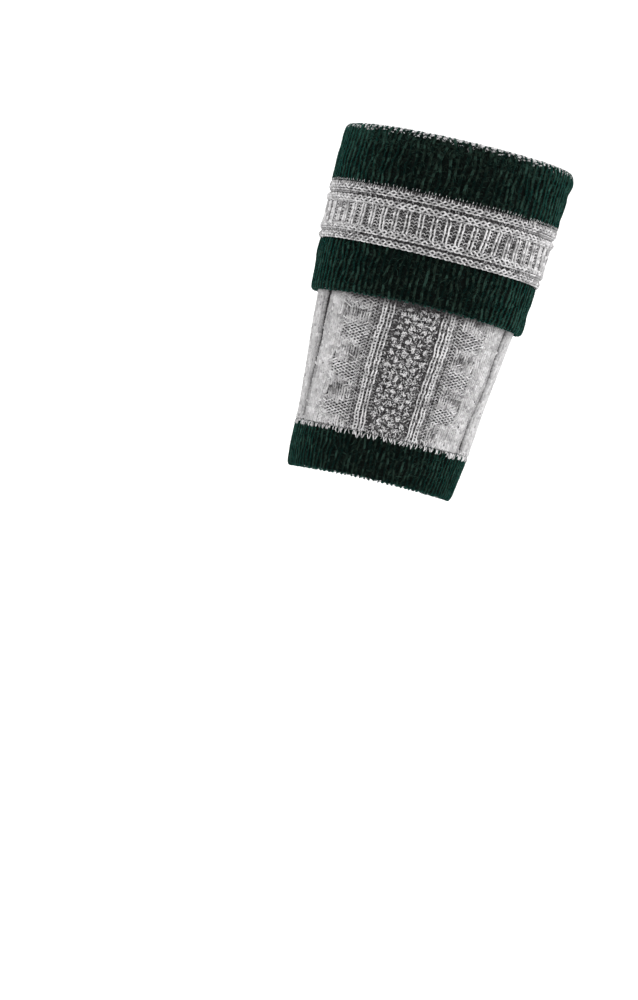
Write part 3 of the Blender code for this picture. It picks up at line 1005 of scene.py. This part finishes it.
def tufts(yarn, back):
    """The tufts of the body's front or back half."""
    for degrees, s, size in NEPS:
        if (math.cos(math.radians(degrees)) < 0) != back:
            continue
        u = BODY.of_height(s) + np.array([[-1, -.4, .4, 1]]) * size
        a = math.radians(degrees) + np.array([[-.6, 0, .3, 1.0]]) * size / TUFT_RADIUS
        w = size * np.array([[.35, 1, .9, .3]])
        yarn.add(BODY, a, u, .0012 + 0 * a, w, w, np.array([-.6]))


hem_yarn = green_rib(HEM, .0012, HEM.length - .0010,
                     down=False).mesh("hem_stitches", [green_yarn])
lower_yarn = green_rib(LOWER, .0012,
                       LOWER.length - .0010).mesh("cuff_lower_stitches", [green_yarn])
rib_end = UPPER.of_height(.1925) + .0006
upper = green_rib(UPPER, .0006, rib_end)
# Lighter loose fibres near the fold make the band's top read lighter: real fuzz, with painted light
# in its tones.
hairs(upper, UPPER, 1700, (.0014, .0036), (.00007, .00015), (.0004, .0010), tones(.4, 1.4),
      (UPPER.of_height(.1838), rib_end))
upper_yarn = upper.mesh("cuff_upper_stitches", [green_yarn])
pattern_yarn = pattern_stitches().mesh("cuff_pattern_stitches", [grey_yarn])
seam = Yarn()
dashes(seam, UPPER, (0, .0002), (.0008, .0015), .0007, tones(.35, .9),
       to_the_sides(LEGS_ROUND, .72, 1.2), .00017, LEGS_ROUND, .12)
seam_loops(seam)
seam_yarn = seam.mesh("seam_loops", [grey_yarn])
fold_yarn = fold_stitches().mesh("fold_stitches", [grey_yarn])
bodies = []
for back in (False, True):
    yarn = body_stitches(back)
    middle = math.pi if back else 0.0
    hairs(yarn, BODY, 3400, (.0012, .0032), (.00002, .00005), (.0005, .0013), tones(.2, .95),
          (0, BODY.of_height(HAIRS_TOP)), (middle - math.pi / 2, middle + math.pi / 2))
    tufts(yarn, back)
    bodies.append(yarn.mesh("body_back_stitches" if back else "body_front_stitches", [grey_yarn]))
front_yarn, back_yarn = bodies
lining_yarn = lining_stitches(BODY_LINING, 94, .0004, BODY_LINING.length - .0008,
                              tones(.35, .85)).mesh("body_lining_stitches", [grey_yarn])
hem_lining = lining_stitches(HEM_LINING, STITCHES, .0004, HEM_LINING.length - .0006,
                             dusky()).mesh("hem_lining_stitches", [green_yarn])

for piece in (hem_shell, lower_shell, upper_shell, hem_yarn, lower_yarn, upper_yarn, hem_lining):
    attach(piece, "root")
for piece in (body_shell, pattern_shell, pattern_yarn, front_yarn, back_yarn, fold_yarn, seam_yarn,
              lining_yarn):
    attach(piece, "root")

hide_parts("hem_band")
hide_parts("body_tube")
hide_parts("cuff_lower_band")
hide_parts("cuff_pattern_band")
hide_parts("cuff_upper_band")

# ---- Stage, light and camera -----------------------------------------------------------------

FLOOR = -.452


def stage_floor():
    """A pale floor that sweeps up behind."""
    turn = np.linspace(0, math.pi / 2, 12)
    sweep = [(4 + 2 * math.sin(t), 2 - 2 * math.cos(t)) for t in turn]
    profile = [(-6.0, 0.0), *sweep, (6.0, 6.0)]
    points = [(x, y, FLOOR + z) for y, z in profile for x in (-7, 7)]
    quads = np.array([(2 * i, 2 * i + 1, 2 * i + 3, 2 * i + 2) for i in range(len(profile) - 1)])
    material, tree, shader = nodes_of("studio_paper")
    fill(tree, shader, {"Base Color": (.95, .95, .95, 1), "Roughness": .9})
    mesh_object("studio_floor", np.array(points), quads, [material])


def soft_light(name, where, aim, size, power):
    light = bpy.data.lights.new(name, "AREA")
    light.shape = "RECTANGLE"
    light.size, light.size_y = size
    light.energy = power
    lamp = bpy.data.objects.new(name, light)
    bpy.context.scene.collection.objects.link(lamp)
    lamp.location = where
    lamp.rotation_euler = (Vector(aim) - Vector(where)).to_track_quat("-Z", "Y").to_euler()


stage_floor()
GARMENT = (0, 0, -.08)
soft_light("left_box", (-1.7, -.7, .15), GARMENT, (1.0, 1.4), 16)
soft_light("right_box", (1.7, -.5, .25), GARMENT, (1.0, 1.4), 22)
soft_light("front_box", (.2, -2.6, 1.5), GARMENT, (1.2, 1.0), 12)
soft_light("backdrop_box", (0, 2.6, 3.6), (0, 6.0, .4), (6.0, 1.6), 150)
soft_light("floor_box", (0, 2.0, 3.4), (0, 2.4, FLOOR), (5.0, 2.0), 90)

world = bpy.data.worlds.new("studio")
world.use_nodes = True
fill(world.node_tree, world.node_tree.nodes["Background"], {"Color": (1, 1, 1, 1), "Strength": .62})
bpy.context.scene.world = world
bpy.context.scene.view_settings.view_transform = "Standard"

# The photo's middle, and where the frame's origin lies in it, in pixels.
PHOTO_MIDDLE = (319, 500)
ORIGIN_PIXEL = (453.3, 174.4)
HALF_VIEW = math.radians(6.5)
DISTANCE = 2.5
PIXEL = 2 * DISTANCE * math.tan(HALF_VIEW) / 1000
lens = bpy.data.cameras.new("studio_camera")
lens.sensor_fit = "VERTICAL"
lens.sensor_height = 36
lens.lens = 18 / math.tan(HALF_VIEW)
lens.clip_end = 50
camera = bpy.data.objects.new("studio_camera", lens)
camera.location = ((PHOTO_MIDDLE[0] - ORIGIN_PIXEL[0]) * PIXEL, -DISTANCE,
                   (ORIGIN_PIXEL[1] - PHOTO_MIDDLE[1]) * PIXEL)
camera.rotation_euler = (math.pi / 2, 0, 0)
bpy.context.scene.collection.objects.link(camera)
bpy.context.scene.camera = camera
